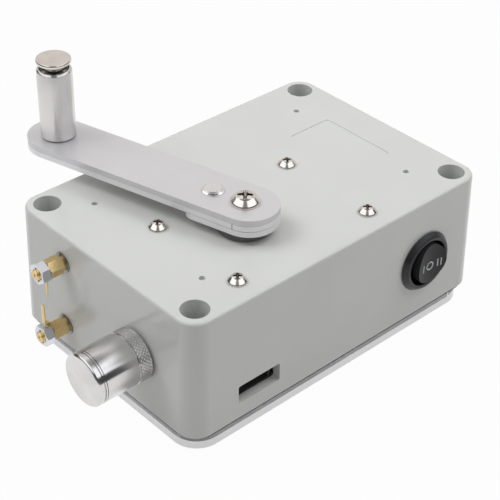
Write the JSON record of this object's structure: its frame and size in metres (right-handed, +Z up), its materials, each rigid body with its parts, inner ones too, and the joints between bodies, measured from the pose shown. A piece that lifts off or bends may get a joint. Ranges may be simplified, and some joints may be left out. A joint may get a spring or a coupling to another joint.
{
  "type": "hand crank generator",
  "caption": "Hand crank generator in a grey plastic case with a clear base cover, a metal crank arm, a rocker switch, a USB slot, a turning knob and brass terminals",
  "frame": {"origin": "middle of the underside of the clear cover, which is the face it stands on", "axes": "+X along the long side of the case, away from the face with the knob and the terminals; -Y out of the long face with the switch and the USB slot; +Z up, out of the face with the crank"},
  "size_m": [0.1571, 0.1211, 0.093],
  "materials": {
    "case_plastic": "satin light grey",
    "clear_plastic": "clear, moulded",
    "seal_rubber": "dull black",
    "screw_steel": "nickel plated",
    "plate_steel": "zinc plated",
    "bearing_bronze": "sintered, oiled",
    "gear_steel": "machined",
    "gear_nylon": "satin cream",
    "can_steel": "zinc plated",
    "magnet_ferrite": "dull",
    "black_plastic": "satin black",
    "carbon": "dull",
    "winding_copper": "varnished copper",
    "shaft_steel": "ground",
    "brass": "turned",
    "arm_aluminium": "silver anodised, satin",
    "knob_aluminium": "finely turned",
    "sleeve_steel": "polished",
    "switch_plastic": "semi-gloss black",
    "nut_steel": "nickel plated",
    "pot_metal": "plated",
    "tag_metal": "tinned",
    "board_green": "solder resist",
    "nylon": "natural nylon",
    "capacitor_sleeve": "dark blue film",
    "heat_sink_metal": "extruded",
    "wire_red": "red PVC",
    "wire_black": "black PVC"
  },
  "bodies": {
    "case": {"housing": "case_plastic", "clear_cover": "clear_plastic", "gasket": "seal_rubber", "cover_screws": "screw_steel", "gearbox_top_plate": "plate_steel", "gearbox_bottom_plate": "plate_steel", "gearbox_spacers": "plate_steel", "gearbox_screws": "screw_steel", "gearbox_nuts": "screw_steel", "upper_bearing": "bearing_bronze", "lower_bush": "bearing_bronze", "idler_pin": "shaft_steel", "generator_can": "can_steel", "generator_magnets": "magnet_ferrite", "generator_end_cap": "black_plastic", "generator_tabs": "brass", "generator_brushes": "carbon", "generator_screws": "screw_steel", "switch_body": "switch_plastic", "switch_blades": "tag_metal", "pot_body": "pot_metal", "pot_tabs": "tag_metal", "pot_nut": "nut_steel", "terminal_studs": "brass", "terminal_washers": "nut_steel", "terminal_barrels": "brass", "terminal_inner_nuts": "nut_steel", "lead_tags": "brass", "usb_board": "board_green", "usb_posts": "nylon", "usb_socket": "black_plastic", "usb_tongue": "nylon", "power_board": "board_green", "board_screws": "screw_steel", "capacitors": "capacitor_sleeve", "inductor": "winding_copper", "rectifier": "black_plastic", "heat_sink": "heat_sink_metal", "red_wires": "wire_red", "black_wires": "wire_black"},
    "crank": {"crank_shaft": "shaft_steel", "input_gear": "gear_steel", "hub_collar": "black_plastic", "hub_plate": "arm_aluminium", "arm_lower_plate": "arm_aluminium", "arm_top_plate": "arm_aluminium", "arm_rivet": "arm_aluminium", "crank_screw": "screw_steel", "handle_spindle": "screw_steel"},
    "handle": {"handle_sleeve": "sleeve_steel"},
    "idler": {"idler_wheel": "gear_nylon", "idler_pinion": "gear_steel"},
    "rotor": {"armature": "winding_copper", "generator_shaft": "shaft_steel", "generator_pinion": "brass"},
    "knob": {"knob": "knob_aluminium", "pot_shaft": "shaft_steel"},
    "rocker": {"switch_rocker": "switch_plastic"},
    "upper_nut": {"upper_nut": "nut_steel"},
    "lower_nut": {"lower_nut": "nut_steel"}
  },
  "joints": [
    {"name": "crank_spin", "type": "hinge", "parent": "case", "child": "crank", "pos_m": [-0.0182, -0.0157, 0.05], "axis": [0, 0, 1], "continuous": true},
    {"name": "handle_spin", "type": "hinge", "parent": "crank", "child": "handle", "pos_m": [-0.03894, 0.05908, 0.076], "axis": [0, 0, 1], "continuous": true},
    {"name": "idler_spin", "type": "hinge", "parent": "case", "child": "idler", "pos_m": [0.01078, -0.01681, 0.042], "axis": [0, 0, 1], "continuous": true},
    {"name": "rotor_spin", "type": "hinge", "parent": "case", "child": "rotor", "pos_m": [-0.00724, -0.00641, 0.03], "axis": [0, 0, 1], "continuous": true},
    {"name": "knob_turn", "type": "hinge", "parent": "case", "child": "knob", "pos_m": [-0.078, -0.0188, 0.028], "axis": [1, 0, 0], "range_deg": [-150, 150]},
    {"name": "rocker_tilt", "type": "hinge", "parent": "case", "child": "rocker", "pos_m": [0.0394, -0.04463, 0.0282], "axis": [0, 0, 1], "range_deg": [-11, 11]},
    {"name": "upper_nut_slide", "type": "slide", "parent": "case", "child": "upper_nut", "axis": [-1, 0, 0], "range_m": [0, 0.0009]},
    {"name": "lower_nut_slide", "type": "slide", "parent": "case", "child": "lower_nut", "axis": [-1, 0, 0], "range_m": [0, 0.0009]}
  ],
  "couplings": [
    {"joint": "idler_spin", "follows": "crank_spin", "ratio": -3.8333},
    {"joint": "rotor_spin", "follows": "crank_spin", "ratio": 12.778}
  ]
}
